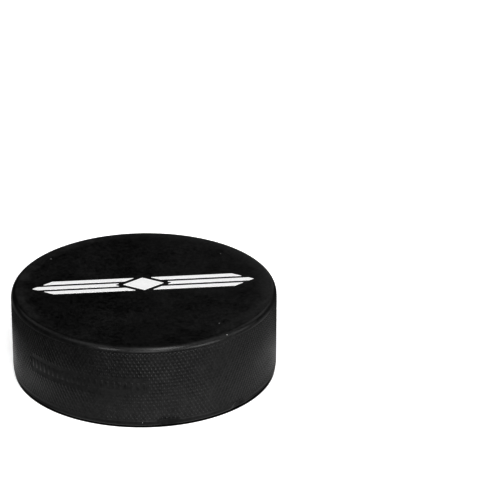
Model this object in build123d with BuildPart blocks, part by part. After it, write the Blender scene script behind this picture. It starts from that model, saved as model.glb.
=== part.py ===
from build123d import *
import os
from math import atan2, pi, radians, sin, tan

# Ice hockey puck, in millimetres.
# Origin at the centre of the underside, +Z up, +X along the printed mark, -Y the side it is read from.

# Driving dimensions
puck_diameter = 76.2  # 3 inches over the crests of the knurl
puck_thickness = 25.4  # 1 inch from face to face
rim_width = 1.3  # rounding between each face and the edge, measured along the face

# Knurled band: rows of raised diamonds round the edge, where two sets of helical grooves cross
knurl_height = 0.2  # crests above the bottoms of the grooves
crest_step = 0.05  # crests above the rounding that the band ends on
knurl_starts = 200  # grooves in each direction, so also the diamonds in one row
knurl_angle = 30.0  # degrees from the puck's axis to a groove
band_diamonds = 10  # band height, in diamonds
strip_diamonds = 2  # height of the blank strip in the band, in diamonds
strip_first = -34  # where the strip starts and ends, in diamonds round the edge from -Y towards +X
strip_last = -2

# Printed mark on the upper face: a lozenge between two sets of stripes
ink_thickness = 0.05
mark_length = 64.0
mark_height = 8.3
mark_offset = 1.7  # from the middle of the face, towards +Y
stripe_height = 2.1
stripe_count = 3
lozenge_half_length = 6.0
ink_gap = 1.2  # bare rubber between the lozenge and the stripes
ink_corner_radius = 0.2

# Derived dimensions of the body
puck_radius = puck_diameter / 2
groove_radius = puck_radius - knurl_height
edge_radius = puck_radius - crest_step
face_radius = edge_radius - rim_width
diamond_width = pi * puck_diameter / knurl_starts
diamond_height = diamond_width / tan(radians(knurl_angle))
band_bottom = (puck_thickness - band_diamonds * diamond_height) / 2
band_top = puck_thickness - band_bottom
rim_height = band_bottom  # the rounding takes up the whole of the edge outside the band
strip_height = strip_diamonds * diamond_height
strip_bottom = (puck_thickness - strip_height) / 2
strip_start = strip_first * 360 / knurl_starts - 90
strip_sweep = (strip_last - strip_first) * 360 / knurl_starts

# Derived dimensions of the mark
half_length = mark_length / 2
half_height = mark_height / 2
shoulder = half_length - lozenge_half_length
stripe_pitch = (mark_height - stripe_height) / (stripe_count - 1)
stripe_gap = stripe_pitch - stripe_height
lozenge_slope = atan2(half_height, lozenge_half_length)
clearing_half_length = lozenge_half_length + ink_gap / sin(lozenge_slope)
clearing_half_height = clearing_half_length * tan(lozenge_slope)
mark_plane = Plane.XY.offset(puck_thickness).move(Location((0, mark_offset, 0)))


# Rubber body: one solid moulding, turned from half of its section.
# The knurled band is drawn at the height of its crests, with a short ramp up to it at each end.
# The rims are quarter ellipses, taller than they are wide.
with BuildPart() as rubber_body:
    with BuildSketch(Plane.XZ):
        with BuildLine():
            Line((0, 0), (face_radius, 0))
            EllipticalCenterArc((face_radius, rim_height), rim_width, rim_height, 270, arc_size=90)
            Polyline(
                (edge_radius, band_bottom),
                (puck_radius, band_bottom + crest_step),
                (puck_radius, band_top - crest_step),
                (edge_radius, band_top),
            )
            EllipticalCenterArc((face_radius, puck_thickness - rim_height), rim_width, rim_height, 0, arc_size=90)
            Polyline((face_radius, puck_thickness), (0, puck_thickness), (0, 0))
        make_face()
    revolve(axis=Axis.Z)

    # The blank strip goes down to the bottoms of the grooves.
    with BuildSketch(Plane.XY.offset(strip_bottom)):
        with BuildLine():
            outer = CenterArc((0, 0), puck_radius + knurl_height, strip_start, strip_sweep)
            inner = CenterArc((0, 0), groove_radius, strip_start, strip_sweep)
            Line(outer @ 0, inner @ 0)
            Line(outer @ 1, inner @ 1)
        make_face()
    extrude(amount=strip_height, mode=Mode.SUBTRACT)

# Printed lozenge in the middle of the mark
with BuildPart() as print_lozenge:
    with BuildSketch(mark_plane) as lozenge:
        with BuildLine():
            Polyline(
                (-lozenge_half_length, 0),
                (0, -half_height),
                (lozenge_half_length, 0),
                (0, half_height),
                close=True,
            )
        make_face()
        fillet(lozenge.vertices(), ink_corner_radius)
    extrude(amount=ink_thickness)

# Printed stripes on the right of the lozenge: a long shape whose end slopes as the lozenge does,
# less the gaps between the stripes and a clearing round the lozenge
with BuildPart() as print_stripes_right:
    with BuildSketch(mark_plane) as stripes:
        with BuildLine():
            Polyline(
                (0, -half_height),
                (shoulder, -half_height),
                (half_length, 0),
                (shoulder, half_height),
                (0, half_height),
                close=True,
            )
        make_face()
        with GridLocations(0, stripe_pitch, 1, stripe_count - 1):
            Rectangle(mark_length, stripe_gap, mode=Mode.SUBTRACT)
        with BuildLine():
            Polyline(
                (-clearing_half_length, 0),
                (0, -clearing_half_height),
                (clearing_half_length, 0),
                (0, clearing_half_height),
                close=True,
            )
        make_face(mode=Mode.SUBTRACT)
        fillet(stripes.vertices(), ink_corner_radius)
    extrude(amount=ink_thickness)

# Printed stripes on the left, the mirror image of those on the right
with BuildPart() as print_stripes_left:
    mirror(print_stripes_right.part, about=Plane.YZ)

rubber_body.part.label = "rubber_body"
print_lozenge.part.label = "print_lozenge"
print_stripes_left.part.label = "print_stripes_left"
print_stripes_right.part.label = "print_stripes_right"

os.makedirs("parts", exist_ok=True)
export_step(rubber_body.part, "parts/rubber_body.step")
export_step(print_lozenge.part, "parts/print_lozenge.step")
export_step(print_stripes_left.part, "parts/print_stripes_left.step")
export_step(print_stripes_right.part, "parts/print_stripes_right.step")
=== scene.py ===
import math

import bpy
from mathutils import Euler, Matrix, Vector, noise


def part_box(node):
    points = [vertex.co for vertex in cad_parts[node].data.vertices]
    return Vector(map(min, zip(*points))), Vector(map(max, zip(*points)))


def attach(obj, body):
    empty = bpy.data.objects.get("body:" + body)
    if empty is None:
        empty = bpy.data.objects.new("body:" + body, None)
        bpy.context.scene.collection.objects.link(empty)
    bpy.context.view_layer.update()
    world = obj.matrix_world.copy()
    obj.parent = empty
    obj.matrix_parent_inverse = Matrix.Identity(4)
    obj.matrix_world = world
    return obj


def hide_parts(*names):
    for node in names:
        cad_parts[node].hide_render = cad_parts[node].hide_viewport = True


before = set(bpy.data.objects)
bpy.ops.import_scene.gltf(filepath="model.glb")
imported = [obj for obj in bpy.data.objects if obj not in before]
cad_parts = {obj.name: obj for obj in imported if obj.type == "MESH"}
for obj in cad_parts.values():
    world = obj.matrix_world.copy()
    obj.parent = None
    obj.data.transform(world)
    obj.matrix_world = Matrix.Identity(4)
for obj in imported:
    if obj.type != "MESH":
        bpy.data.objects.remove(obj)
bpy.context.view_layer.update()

# Ice hockey puck, as the CAD model has it: origin in the middle of the underside, +Z up,
# +X along the printed mark, -Y the side it is read from. Lengths are in metres.

MM = 0.001

# The body's sizes
body_low, body_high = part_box("rubber_body")
THICKNESS = body_high[2] - body_low[2]
CREST_RADIUS = (body_high[1] - body_low[1]) / 2
KNURL_HEIGHT = 0.2 * MM
GROOVE_RADIUS = CREST_RADIUS - KNURL_HEIGHT
EDGE_RADIUS = CREST_RADIUS - 0.05 * MM  # outside the band, where the rims begin
RIM_WIDTH = 1.3 * MM
FACE_RADIUS = EDGE_RADIUS - RIM_WIDTH

# The knurl: diamonds in staggered rows. Columns and rows are counted in half diamonds,
# columns round the edge from -Y towards +X, rows up from the foot of the band.
KNURL_STARTS = 200
KNURL_ANGLE = math.radians(30)
BAND_DIAMONDS = 10
STRIP_DIAMONDS = 2
STRIP_FIRST = -34
STRIP_LAST = -2
COLUMNS = 2 * KNURL_STARTS
ROWS = 2 * BAND_DIAMONDS
HALF_WIDTH = math.pi * CREST_RADIUS / KNURL_STARTS
HALF_HEIGHT = HALF_WIDTH / math.tan(KNURL_ANGLE)
BAND_BOTTOM = (THICKNESS - ROWS * HALF_HEIGHT) / 2
STRIP_ROWS = (BAND_DIAMONDS - STRIP_DIAMONDS, BAND_DIAMONDS + STRIP_DIAMONDS)
STRIP_COLUMNS = (2 * STRIP_FIRST, 2 * STRIP_LAST)

# How a diamond rises from the groove round it: (share of the flank's width, share of the height)
FLANK = 0.32 * MM
FLANK_STEPS = [(0.6, 0.7), (1.0, 1.0)]

# Half diamonds round the blank strip are lower than the rest, as a share
STRIP_BORDER = 0.15

# Plain raised bars along the middle of the strip
BAR_COUNT = 22
BAR_WIDTH = 0.9 * MM
BAR_LENGTH = 2.7 * MM
BAR_HEIGHT = 0.08 * MM

# The rims are quarter ellipses, and the faces roll off a little before they meet them
RIM_STEPS = 14
ROLL_START = 32.6 * MM
ROLL_DEPTH = 0.15 * MM
HOLLOW_DEPTH = 0.02 * MM

# The faces' mesh: rings about this far apart, with points at least this far apart in a ring
FACE_STEP = 0.5 * MM
FACE_SPACING = 0.3 * MM


def smoothstep(low, high, value):
    t = min(1.0, max(0.0, (value - low) / (high - low)))
    return t * t * (3 - 2 * t)


# ---------------------------------------------------------------- camera

SENSOR_MM = 36
LENS_PER_SENSOR = 5.5685  # focal length over sensor width
CAMERA_AT = Vector((-54.93, -717.06, 372.70)) * MM
CAMERA_PITCH = math.radians(-25.04)
CAMERA_YAW = math.radians(-6.8)
CAMERA_ROLL = math.radians(0.23)


def make_camera():
    data = bpy.data.cameras.new("camera")
    data.sensor_width = SENSOR_MM
    data.lens = SENSOR_MM * LENS_PER_SENSOR
    data.clip_start = 0.01
    data.clip_end = 100
    camera = bpy.data.objects.new("camera", data)
    bpy.context.collection.objects.link(camera)
    look = Euler((math.pi / 2 + CAMERA_PITCH, 0, CAMERA_YAW)).to_matrix()
    roll = Matrix.Rotation(CAMERA_ROLL, 3, "Z")
    camera.matrix_world = Matrix.Translation(CAMERA_AT) @ (look @ roll).to_4x4()
    bpy.context.scene.camera = camera


make_camera()


# ---------------------------------------------------------------- rubber body

class Skin:
    """Vertices and faces of one mesh; a vertex asked for twice under one key is shared."""

    def __init__(self):
        self.points = []
        self.faces = []
        self.known = {}

    def point(self, place, key=None):
        if key is not None and key in self.known:
            return self.known[key]
        self.points.append(place)
        if key is not None:
            self.known[key] = len(self.points) - 1
        return len(self.points) - 1


def on_edge(along, up, radius):
    """A point of the edge: along is measured round the crests from -Y towards +X."""
    angle = along / CREST_RADIUS
    return Vector((radius * math.sin(angle), -radius * math.cos(angle), up))


def incentre(corners):
    """The centre of the largest circle in a triangle, or the middle of a diamond."""
    if len(corners) == 4:
        return (corners[0] + corners[2]) / 2
    a, b, c = corners
    weights = [(b - c).length, (c - a).length, (a - b).length]
    return (a * weights[0] + b * weights[1] + c * weights[2]) / sum(weights)


def inradius(corners):
    centre = incentre(corners)
    near = []
    for k, corner in enumerate(corners):
        along = (corners[(k + 1) % len(corners)] - corner).normalized()
        offset = centre - corner
        near.append(abs(along.x * offset.y - along.y * offset.x))
    return min(near)


def in_strip(column, row):
    """How a lattice point lies to the blank strip: -1 outside, 0 on its border, 1 inside."""
    column = (column + COLUMNS // 2) % COLUMNS - COLUMNS // 2
    left, right = STRIP_COLUMNS
    low, high = STRIP_ROWS
    inside = min(column - left, right - column, row - low, high - row)
    return (inside > 0) - (inside < 0)


# Places of the edge where the knurl is worn low: (degrees from -Y towards +X, height in mm,
# half width in degrees, half height in mm, share of the height that is gone)
WORN_PATCHES = [
    (-55, 8, 14, 4, 0.30),
    (-22, 9, 8, 2.5, 0.35),
    (-35, 5, 8, 2, 0.30),
    (2, 21, 8, 3, 0.30),
    (24, 17, 13, 6, 0.30),
    (52, 12, 16, 5, 0.30),
    (150, 6, 25, 5, 0.35),
    (-130, 17, 25, 6, 0.30),
]

# Chips that are open towards a face: (degrees from -Y towards +X, height of the closed end,
# half width, softness of the closed end, and depth, all in mm)
CHIPS = [
    (5, 1.9, 3.6, 0.7, 0.70),
    (39, 1.8, 2.6, 0.7, 0.60),
    (-171, 22.9, 2.5, 0.7, 0.15),
]


def chipped(place):
    """The place, moved towards the axis where a chip is missing from the edge."""
    radius = math.hypot(place.x, place.y)
    if radius < FACE_RADIUS:
        return place
    angle = math.degrees(math.atan2(place.x, -place.y))
    depth = 0.0
    for azimuth, height, half_width, softness, deep in CHIPS:
        across = math.radians(angle - azimuth) * radius / MM
        inwards = place.z / MM - height
        if height * MM > THICKNESS / 2:
            inwards = -inwards
        off = math.hypot(across / half_width, max(0.0, inwards) / softness)
        depth += deep * MM * (1 - smoothstep(0.35, 1.0, off))
    scale = 1 - depth * smoothstep(FACE_RADIUS, EDGE_RADIUS, radius) / radius
    return Vector((place.x * scale, place.y * scale, place.z))


def crest_share(place):
    """Height of a diamond as a share of the full height: some are worn, and no two are the same."""
    angle = math.degrees(math.atan2(place.x, -place.y))
    gone = 0.12 * smoothstep(-0.1, 0.5, noise.noise(place / (9 * MM)))
    for azimuth, height, width, reach, share in WORN_PATCHES:
        off = math.hypot((angle - azimuth) / width, (place.z / MM - height) / reach)
        gone += share * (1 - smoothstep(0.4, 1.2, off))
    uneven = (noise.noise(place / (1.4 * MM) + Vector((7, 3, 1))) + 1) / 2
    return max(0.12, 1 - gone - 0.2 * uneven)


def add_knurl(skin):
    def lattice(column, row):
        column %= COLUMNS
        place = on_edge(column * HALF_WIDTH, BAND_BOTTOM + row * HALF_HEIGHT, GROOVE_RADIUS)
        return skin.point(place, ("lattice", column, row))

    def flat(cells):
        skin.faces.append([lattice(*cell) for cell in cells])

    def raised(cells, middle=None, share=1.0):
        """A diamond or half diamond on the given lattice corners. Middle is the lattice point
        in the middle of a half diamond's cut side, which lies after the last corner."""
        corners = [Vector((c * HALF_WIDTH, BAND_BOTTOM + r * HALF_HEIGHT)) for c, r in cells]
        centre = incentre(corners)
        reach = inradius(corners)
        flank = min(FLANK, 0.8 * reach)
        cells = list(cells)
        if middle:
            cells.append(middle)
            corners.append(Vector((middle[0] * HALF_WIDTH, BAND_BOTTOM + middle[1] * HALF_HEIGHT)))
        height = KNURL_HEIGHT * share * crest_share(on_edge(centre.x, centre.y, CREST_RADIUS))
        ring = [lattice(*cell) for cell in cells]
        for run, rise in FLANK_STEPS:
            scale = 1 - run * flank / reach
            places = [centre + (corner - centre) * scale for corner in corners]
            upper = [skin.point(on_edge(p.x, p.y, GROOVE_RADIUS + rise * height)) for p in places]
            for k in range(len(ring)):
                after = (k + 1) % len(ring)
                skin.faces.append([ring[k], ring[after], upper[after], upper[k]])
            ring = upper
        skin.faces.append(ring)

    for row in range(ROWS + 1):
        for column in range(COLUMNS):
            if (row + column) % 2 == 0:
                continue
            here = (column, row)
            right, left = (column + 1, row), (column - 1, row)
            up, down = (column, row + 1), (column, row - 1)
            halves = {
                "up": (right, up, left),
                "left": (up, left, down),
                "down": (left, down, right),
                "right": (down, right, up),
            }
            if row == 0:
                raised(halves["up"], here)
            elif row == ROWS:
                raised(halves["down"], here)
            elif in_strip(*here) > 0:
                flat((right, up, left, down))
            elif in_strip(*here) == 0:
                for side, outward in (("up", up), ("left", left), ("down", down), ("right", right)):
                    if in_strip(*outward) < 0:
                        raised(halves[side], here, STRIP_BORDER)
                    elif in_strip(*outward) > 0:
                        flat(halves[side] + (here,))
            else:
                raised((right, up, left, down))
    foot = [lattice(column, 0) for column in range(COLUMNS)]
    head = [lattice(column, ROWS) for column in range(COLUMNS)]
    return foot, head


def add_bars(skin):
    """A row of low bars with sloping sides, standing on the blank strip."""
    left = STRIP_COLUMNS[0] * HALF_WIDTH
    pitch = (STRIP_COLUMNS[1] - STRIP_COLUMNS[0]) * HALF_WIDTH / BAR_COUNT
    middle = THICKNESS / 2
    outline = [(-1, -1), (1, -1), (1, 1), (-1, 1)]
    # (how far in from the bar's outline, how far above the strip)
    profile = [(0, -0.02 * MM), (0.10 * MM, 0.7 * BAR_HEIGHT), (0.20 * MM, BAR_HEIGHT)]
    for k in range(BAR_COUNT):
        along = left + (k + 0.5) * pitch
        rings = []
        for inset, level in profile:
            half_width, half_length = BAR_WIDTH / 2 - inset, BAR_LENGTH / 2 - inset
            places = [(along + x * half_width, middle + z * half_length) for x, z in outline]
            rings.append([skin.point(on_edge(*place, GROOVE_RADIUS + level)) for place in places])
        bridge(skin, rings[0], rings[1], False)
        bridge(skin, rings[1], rings[2], False)
        skin.faces.append(rings[2])


def bridge(skin, outer, inner, flip):
    """Faces between two rings. The inner ring has as many points as the outer one, or half."""
    step = len(outer) // len(inner)
    count = len(outer)
    for k in range(len(inner)):
        after = (k + 1) % len(inner)
        if step == 1:
            faces = [[outer[k], outer[after], inner[after], inner[k]]]
        else:
            a, b, c = outer[2 * k], outer[2 * k + 1], outer[(2 * k + 2) % count]
            faces = [[a, b, inner[k]], [b, inner[after], inner[k]], [b, c, inner[after]]]
        skin.faces += [face[::-1] if flip else face for face in faces]


def roll_off(radius):
    return ROLL_DEPTH * max(0.0, (radius - ROLL_START) / (FACE_RADIUS - ROLL_START)) ** 2


def face_level(place):
    """How far a face lies below its plane: the roll-off, and faint hollows from shrinking."""
    hollow = (noise.noise(place / (13 * MM) + Vector((3, 8, 5))) + 1) / 2
    return roll_off(math.hypot(place.x, place.y)) + HOLLOW_DEPTH * hollow


def close_half(skin, ring, upper):
    """Rim and face on one side of the band, from the band's end ring inwards."""
    side = 1 if upper else -1
    plane = THICKNESS if upper else 0.0

    def ring_at(radius, depth, count):
        """A ring of points round the axis; depth is a function of the place on the face."""
        made = []
        for k in range(count):
            angle = 2 * math.pi * k / count
            place = Vector((radius * math.sin(angle), -radius * math.cos(angle), plane))
            place.z -= side * depth(place)
            made.append(skin.point(place))
        return made

    # The rim takes up all of the edge outside the band
    count = COLUMNS
    for k in range(1, RIM_STEPS + 1):
        share = k / RIM_STEPS
        turn = math.pi / 2 * share
        radius = FACE_RADIUS + RIM_WIDTH * math.cos(turn)
        height = BAND_BOTTOM * (1 - math.sin(turn))
        blend = smoothstep(0, 1, share)
        inner = ring_at(radius, lambda place: height + blend * face_level(place), count)
        bridge(skin, ring, inner, not upper)
        ring = inner

    # The face: rings closer and closer to the middle, with half as many points where they crowd
    while radius > 3 * FACE_STEP:
        spacing = 2 * math.pi * radius / count
        if spacing < FACE_SPACING and count % 2 == 0:
            count //= 2
            spacing *= 2
        radius -= max(FACE_STEP, spacing)
        inner = ring_at(radius, face_level, count)
        bridge(skin, ring, inner, not upper)
        ring = inner
    hub = skin.point(Vector((0, 0, plane)))
    for k, corner in enumerate(ring):
        face = [corner, ring[(k + 1) % count], hub]
        skin.faces.append(face if upper else face[::-1])


def mesh_object(name, points, faces):
    mesh = bpy.data.meshes.new(name)
    mesh.from_pydata([tuple(p) for p in points], [], faces)
    mesh.polygons.foreach_set("use_smooth", [True] * len(mesh.polygons))
    mesh.update()
    piece = bpy.data.objects.new(name, mesh)
    bpy.context.collection.objects.link(piece)
    return piece


def make_body():
    skin = Skin()
    foot, head = add_knurl(skin)
    add_bars(skin)
    close_half(skin, foot, upper=False)
    close_half(skin, head, upper=True)
    body = mesh_object("moulded_rubber", [chipped(place) for place in skin.points], skin.faces)
    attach(body, "root")
    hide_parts("rubber_body")
    return body


body = make_body()


# ---------------------------------------------------------------- materials

class Surface:
    """One node material, with short calls for the kinds of node that this scene needs.
    Sizes of patterns are in metres, and a pattern's value runs from 0 to 1."""

    def __init__(self, name):
        self.material = bpy.data.materials.new(name)
        self.material.use_nodes = True
        self.nodes = self.material.node_tree.nodes
        self.links = self.material.node_tree.links
        self.nodes.clear()
        self.place = self.nodes.new("ShaderNodeTexCoord").outputs["Object"]
        self.shader = self.nodes.new("ShaderNodeBsdfPrincipled")
        out = self.nodes.new("ShaderNodeOutputMaterial")
        self.links.new(self.shader.outputs["BSDF"], out.inputs["Surface"])

    def feed(self, socket, value):
        """Give a socket a number, or another node's output."""
        if isinstance(value, bpy.types.NodeSocket):
            self.links.new(value, socket)
        else:
            socket.default_value = value

    def math(self, operation, *values):
        node = self.nodes.new("ShaderNodeMath")
        node.operation = operation
        for socket, value in zip(node.inputs, values):
            self.feed(socket, value)
        return node.outputs["Value"]

    def total(self, base, *layers):
        """A base number plus (pattern, amount) layers."""
        value = base
        for pattern, amount in layers:
            value = self.math("MULTIPLY_ADD", pattern, amount, value)
        return value

    def spread(self, value, low, high, to_low=0.0, to_high=1.0):
        """Carry the range low..high over to to_low..to_high, with soft ends."""
        node = self.nodes.new("ShaderNodeMapRange")
        node.interpolation_type = "SMOOTHSTEP"
        for socket, number in zip(node.inputs, (value, low, high, to_low, to_high)):
            self.feed(socket, number)
        return node.outputs["Result"]

    def product(self, *values):
        value = values[0]
        for other in values[1:]:
            value = self.math("MULTIPLY", value, other)
        return value

    def noise(self, size, detail=3.0, roughness=0.5, distortion=0.0, seed=0.0):
        node = self.nodes.new("ShaderNodeTexNoise")
        node.noise_dimensions = "4D"
        node.inputs["W"].default_value = seed
        self.feed(node.inputs["Vector"], self.place)
        node.inputs["Scale"].default_value = 1 / size
        node.inputs["Detail"].default_value = detail
        node.inputs["Roughness"].default_value = roughness
        node.inputs["Distortion"].default_value = distortion
        return node.outputs["Fac"]

    def specks(self, spacing, radius, share):
        """1 in small round specks, 0 elsewhere: one in each cell, in a share of the cells."""
        node = self.nodes.new("ShaderNodeTexVoronoi")
        self.feed(node.inputs["Vector"], self.place)
        node.inputs["Scale"].default_value = 1 / spacing
        reach = radius / spacing
        near = self.spread(node.outputs["Distance"], 0.5 * reach, reach, 1.0, 0.0)
        chance = self.nodes.new("ShaderNodeSeparateColor")
        self.links.new(node.outputs["Color"], chance.inputs["Color"])
        chosen = self.math("LESS_THAN", chance.outputs["Red"], share)
        return self.math("MULTIPLY", near, chosen)

    def reach(self, place):
        """Distance from a point of the object."""
        node = self.nodes.new("ShaderNodeVectorMath")
        node.operation = "DISTANCE"
        self.feed(node.inputs[0], self.place)
        node.inputs[1].default_value = place
        return node.outputs["Value"]

    def axis(self, name):
        node = self.nodes.new("ShaderNodeSeparateXYZ")
        self.feed(node.inputs[0], self.place)
        return node.outputs[name]

    def radius(self):
        """Distance from the puck's axis."""
        x, y = self.axis("X"), self.axis("Y")
        square = self.math("ADD", self.math("MULTIPLY", x, x), self.math("MULTIPLY", y, y))
        return self.math("SQRT", square)

    def relief(self, *layers):
        """Fine relief from (pattern, depth) layers, depth in metres."""
        normal = None
        for pattern, depth in layers:
            node = self.nodes.new("ShaderNodeBump")
            node.inputs["Distance"].default_value = depth
            self.links.new(pattern, node.inputs["Height"])
            if normal:
                self.links.new(normal, node.inputs["Normal"])
            normal = node.outputs["Normal"]
        self.links.new(normal, self.shader.inputs["Normal"])


# White lint on the upper face and the rims: (x, y, z, radius) in millimetres
LINT = [
    (-25.5, 21.4, 25.4, 0.30),
    (24.2, 19.5, 25.4, 0.22),
    (18.9, -25.8, 25.4, 0.25),
    (20.5, -31.6, 24.6, 0.18),
    (-3.8, -37.8, 1.6, 0.15),
]


def rubber_material():
    """Vulcanised black rubber: a dull skin with cloudy bloom, fine grain, pits and a little lint.
    The margins of the faces have a painted sheen, lighter in places."""
    skin = Surface("moulded_black_rubber")
    radius = skin.radius()
    on_face = skin.spread(radius, 36.0 * MM, 37.4 * MM, 1.0, 0.35)
    cloud = skin.noise(12 * MM, detail=6, roughness=0.68, distortion=0.2, seed=7.9)
    cloud = skin.product(skin.spread(cloud, 0.36, 0.66), on_face)
    smear = skin.spread(skin.noise(3.0 * MM, detail=4, roughness=0.6), 0.35, 0.7)
    mottle = skin.spread(skin.noise(1.1 * MM, detail=4, roughness=0.75), 0.32, 0.68)
    grain = skin.noise(0.35 * MM, detail=4, roughness=0.65)
    pits = skin.specks(1.1 * MM, 0.16 * MM, 0.5)
    # Painted sheen on the faces' margins: mostly at the back on the left, and in front on the right
    x, y = skin.axis("X"), skin.axis("Y")
    back_left = skin.product(
        skin.spread(x, -30 * MM, 30 * MM, 1.2, 0.25), skin.spread(y, -15 * MM, -3 * MM, 0.5, 1.0)
    )
    front_right = skin.product(
        skin.spread(x, 8 * MM, 22 * MM, 0.0, 0.9), skin.spread(y, -14 * MM, 2 * MM, 1.0, 0.0)
    )
    # Painted sheen: the faces' margins are lighter where the light catches them; they are also a
    # little rougher
    painted_margin_sheen = skin.product(
        skin.spread(radius, 32 * MM, 36 * MM),
        skin.spread(radius, 36.4 * MM, 37.2 * MM, 1.0, 0.0),
        skin.spread(y, -36 * MM, -24 * MM),
        skin.math("ADD", back_left, front_right),
        skin.total(0.6, (cloud, 0.4), (smear, 0.3)),
    )
    # Painted shade: the knurl's grooves are darker, as if shaded by the diamonds; they are also
    # rougher
    from_middle = skin.math("ABSOLUTE", skin.math("SUBTRACT", skin.axis("Z"), THICKNESS / 2))
    groove = skin.product(
        skin.spread(from_middle, 10.0 * MM, 10.5 * MM, 1.0, 0.0),
        skin.spread(radius, GROOVE_RADIUS, GROOVE_RADIUS + 0.11 * MM, 1.0, 0.0),
    )
    # Painted light: the rubber is lighter towards +X, the side that more light falls on
    right = skin.spread(x, -30 * MM, 30 * MM)
    lint = 0.0
    for *place, size in LINT:
        reach = skin.reach([number * MM for number in place])
        lint = skin.math("ADD", lint, skin.spread(reach, 0.5 * size * MM, size * MM, 1.0, 0.0))
    uneven = skin.total(-0.0134, (smear, 0.0060), (mottle, 0.0220))
    grey = skin.total(
        0.0048,  # so that the layers come out at the tone of black rubber
        (cloud, 0.0075),
        (uneven, on_face),
        (grain, 0.0040),
        (painted_margin_sheen, 0.016),
        (groove, -0.0020),
        (right, 0.0030),
        (lint, 0.35),
    )
    dull = skin.total(
        0.25,
        (cloud, 0.08),
        (smear, 0.06),
        (grain, 0.05),
        (painted_margin_sheen, 0.10),
        (groove, 0.20),
        (lint, 0.40),
    )
    skin.feed(skin.shader.inputs["Base Color"], skin.math("MAXIMUM", grey, 0.0005))
    skin.feed(skin.shader.inputs["Roughness"], dull)
    skin.shader.inputs["Specular IOR Level"].default_value = 0.26
    unpitted = skin.math("SUBTRACT", 1.0, pits)
    skin.relief((grain, 0.007 * MM), (unpitted, 0.02 * MM), (lint, 0.05 * MM))
    return skin.material


def ink_material():
    """White screen ink: an even matt film that follows the rubber's grain, with a few pinholes."""
    film = Surface("white_screen_ink")
    cloud = film.noise(2.4 * MM, detail=4, roughness=0.6)
    grain = film.noise(0.30 * MM, detail=3, roughness=0.6)
    pinholes = film.specks(1.3 * MM, 0.12 * MM, 0.35)
    white = film.total(0.97, (cloud, -0.05), (grain, -0.05), (pinholes, -0.5))
    film.feed(film.shader.inputs["Base Color"], white)
    film.feed(film.shader.inputs["Roughness"], film.total(0.42, (cloud, 0.10), (grain, 0.10)))
    film.relief((grain, 0.012 * MM), (film.math("SUBTRACT", 1.0, pinholes), 0.02 * MM))
    return film.material


body.data.materials.append(rubber_material())
ink = ink_material()
for node in ("print_lozenge", "print_stripes_left", "print_stripes_right"):
    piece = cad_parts[node]
    piece.data.materials.clear()
    piece.data.materials.append(ink)


# ---------------------------------------------------------------- floor and light

# The pool of light on the floor has three rings: where they meet, and where the last one ends
INNER_SEAM = (53 * MM, 57 * MM)
OUTER_SEAM = (78 * MM, 82 * MM)
POOL_END = (140 * MM, 160 * MM)


def glow_on_floor(sheet, radius):
    """The light that the puck reflects: a bright ring next to its foot, a darker one, and a
    bright one further out. The two dark places stand for the second puck in the photo."""
    x, y = sheet.axis("X"), sheet.axis("Y")
    # The ring next to the foot holds a painted shadow: dark right at the foot out to 43 mm, less so
    # in front
    foot = sheet.product(
        sheet.spread(x, -45 * MM, -30 * MM, 1.85, 1.6),
        sheet.math(
            "MAXIMUM",
            sheet.spread(radius, 38 * MM, 43 * MM, 0.1, 1.0),
            sheet.spread(y, -32 * MM, -18 * MM, 0.4, 0.0),
        ),
        sheet.spread(radius, *INNER_SEAM, 1.0, 0.0),
    )
    middle = sheet.product(
        sheet.spread(x, -15 * MM, 70 * MM, 0.18, 0.85),
        sheet.spread(radius, *INNER_SEAM),
        sheet.spread(radius, *OUTER_SEAM, 1.0, 0.0),
    )
    from_far_dark = sheet.reach((85 * MM, 75 * MM, 0))
    far = sheet.product(
        sheet.spread(radius, *OUTER_SEAM, 0.0, 0.95),
        sheet.spread(radius, *POOL_END, 1.0, 0.0),
        sheet.spread(x, -75 * MM, -45 * MM, 0.4, 1.0),
        sheet.spread(from_far_dark, 40 * MM, 60 * MM, 0.1, 1.0),
    )
    from_near_dark = sheet.reach((50 * MM, 34 * MM, 0))
    return sheet.product(
        sheet.math("ADD", foot, sheet.math("ADD", middle, far)),
        sheet.spread(from_near_dark, 18 * MM, 34 * MM, 0.05, 1.0),
    )


FLOOR_HALF = 12.0
CONTACT_SHADOW = (37.4 * MM, 38.0 * MM)


def make_floor():
    """A pale floor with a thin contact shadow painted round the puck's foot. The camera sees it
    evenly bright, and the puck reflects a pool of light instead."""
    corners = [(x * FLOOR_HALF, y * FLOOR_HALF, 0) for x, y in ((-1, -1), (1, -1), (1, 1), (-1, 1))]
    floor = mesh_object("floor", corners, [(0, 1, 2, 3)])
    sheet = Surface("pale_floor")
    radius = sheet.radius()
    shader = sheet.shader
    # Painted contact shadow: the floor's colour and glow fall to nothing round the foot
    open_floor = sheet.spread(radius, *CONTACT_SHADOW)
    sheet.feed(shader.inputs["Base Color"], sheet.product(open_floor, 0.9))
    sheet.feed(shader.inputs["Emission Strength"], sheet.product(open_floor, 0.5))
    shader.inputs["Emission Color"].default_value = (1, 1, 1, 1)
    shader.inputs["Roughness"].default_value = 1.0
    shader.inputs["Specular IOR Level"].default_value = 0.0

    pool = sheet.nodes.new("ShaderNodeEmission")
    sheet.feed(pool.inputs["Strength"], glow_on_floor(sheet, radius))
    path = sheet.nodes.new("ShaderNodeLightPath")
    mix = sheet.nodes.new("ShaderNodeMixShader")
    sheet.feed(mix.inputs["Fac"], path.outputs["Is Camera Ray"])
    sheet.feed(mix.inputs[1], pool.outputs["Emission"])
    sheet.feed(mix.inputs[2], shader.outputs["BSDF"])
    sheet.feed(sheet.nodes["Material Output"].inputs["Surface"], mix.outputs["Shader"])
    sheet.material.cycles.emission_sampling = "NONE"
    floor.data.materials.append(sheet.material)


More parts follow.
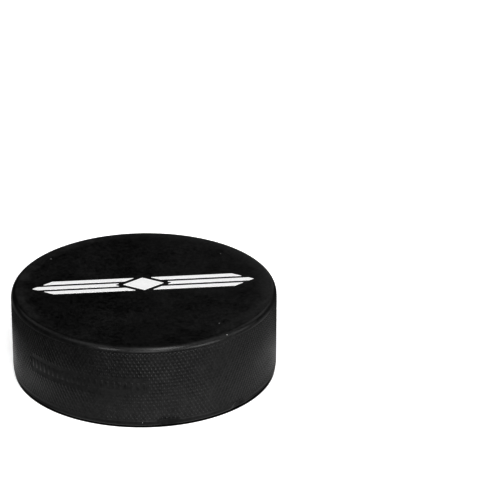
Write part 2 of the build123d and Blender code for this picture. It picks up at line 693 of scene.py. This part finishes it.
def make_world():
    """White behind the floor as the camera sees it, and dark to everything else."""
    world = bpy.data.worlds.new("studio")
    bpy.context.scene.world = world
    world.use_nodes = True
    nodes, links = world.node_tree.nodes, world.node_tree.links
    backdrop = nodes["Background"]
    backdrop.inputs["Color"].default_value = (1, 1, 1, 1)
    path = nodes.new("ShaderNodeLightPath")
    links.new(path.outputs["Is Camera Ray"], backdrop.inputs["Strength"])


def towards(azimuth, elevation):
    """The direction of a lamp as seen from the puck. Azimuth is counted from -Y towards +X."""
    a, e = math.radians(azimuth), math.radians(elevation)
    return Vector((math.sin(a) * math.cos(e), -math.cos(a) * math.cos(e), math.sin(e)))


def add_lamp(data, direction):
    lamp = bpy.data.objects.new(data.name, data)
    lamp.rotation_mode = "QUATERNION"
    lamp.rotation_quaternion = direction.to_track_quat("Z", "Y")
    bpy.context.collection.objects.link(lamp)
    return lamp


def sun(name, azimuth, elevation, strength, spread):
    """A soft box far away; spread is its angular size."""
    data = bpy.data.lights.new(name, "SUN")
    data.energy = strength
    data.angle = math.radians(spread)
    add_lamp(data, towards(azimuth, elevation))


PANEL_WIDTH = 120 * MM
PANEL_HEIGHT = 22 * MM
PANEL_DISTANCE = 250 * MM
PANEL_CENTRE = 12.5 * MM


def panel(name, azimuth, power):
    """A low upright panel of light. Its top edge is below the puck's face, so that it lights
    only the side."""
    data = bpy.data.lights.new(name, "AREA")
    data.shape = "RECTANGLE"
    data.size = PANEL_WIDTH
    data.size_y = PANEL_HEIGHT
    data.energy = power
    direction = towards(azimuth, 0)
    lamp = add_lamp(data, direction)
    lamp.location = direction * PANEL_DISTANCE + Vector((0, 0, PANEL_CENTRE))
    lamp.visible_camera = False


make_floor()
make_world()

# Five soft boxes in a ring, none of them straight behind the puck
sun("ring_front", 0, 35, 1.15, 40)
sun("ring_left", -60, 35, 0.95, 40)
sun("ring_right", 60, 35, 0.70, 40)
sun("ring_back_left", -120, 35, 0.50, 40)
sun("ring_back_right", 120, 35, 0.55, 40)
# Lower ones in front, on the right and behind
sun("key", 13, 22, 2.2, 28)
sun("front_left", -34, 9, 1.15, 9)
sun("side_right", 80, 8, 0.6, 25)
sun("behind", 162, 12, 0.12, 22)
# Two panels that stand on the floor in front
panel("strip_front", 0, 0.17)
panel("strip_right", 40, 0.21)

bpy.context.scene.view_settings.view_transform = "Standard"
bpy.context.scene.view_settings.gamma = 0.7
